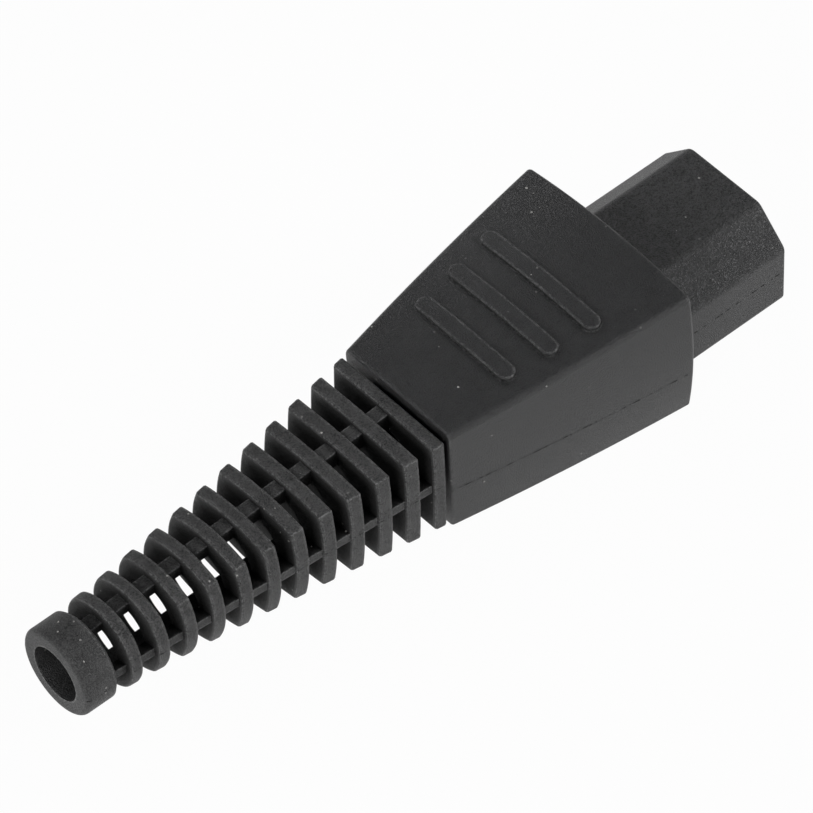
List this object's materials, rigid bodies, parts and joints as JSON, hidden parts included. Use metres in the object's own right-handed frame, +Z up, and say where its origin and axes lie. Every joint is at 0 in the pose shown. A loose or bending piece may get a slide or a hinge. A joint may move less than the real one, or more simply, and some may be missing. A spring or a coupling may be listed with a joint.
{
  "type": "power tool plug",
  "caption": "Rewireable mains connector plug: tapered split grip, chamfered socket nose in front, slotted rubber bend-relief boot behind.",
  "frame": {"origin": "on the surface that the plug rests on, under the grip's rear face and midway along the plug", "axes": "+X along the plug, out of the socket nose; +Y to the live side; +Z up, from the grip's flat underside to its ribbed top"},
  "size_m": [0.1186, 0.0338, 0.023],
  "materials": {
    "grip_plastic": "fine satin grain",
    "nose_plastic": "fine matt grain",
    "boot_rubber": "dull moulded rubber",
    "clamp_plastic": "matt",
    "contact_brass": "bright rolled sheet",
    "washer_steel": "zinc plated",
    "screw_steel": "zinc plated"
  },
  "bodies": {
    "root": {"upper_shell": "grip_plastic", "lower_shell": "grip_plastic", "contact_block": "nose_plastic", "bend_relief_boot": "boot_rubber", "cord_clamp_bar": "clamp_plastic", "contact_live": "contact_brass", "terminal_washer_live": "washer_steel", "terminal_screw_live": "screw_steel", "contact_neutral": "contact_brass", "terminal_washer_neutral": "washer_steel", "terminal_screw_neutral": "screw_steel", "contact_earth": "contact_brass", "terminal_washer_earth": "washer_steel", "terminal_screw_earth": "screw_steel", "cord_clamp_screw_left": "screw_steel", "housing_screw_left": "screw_steel", "housing_nut_left": "screw_steel", "cord_clamp_screw_right": "screw_steel", "housing_screw_right": "screw_steel", "housing_nut_right": "screw_steel"}
  },
  "joints": []
}
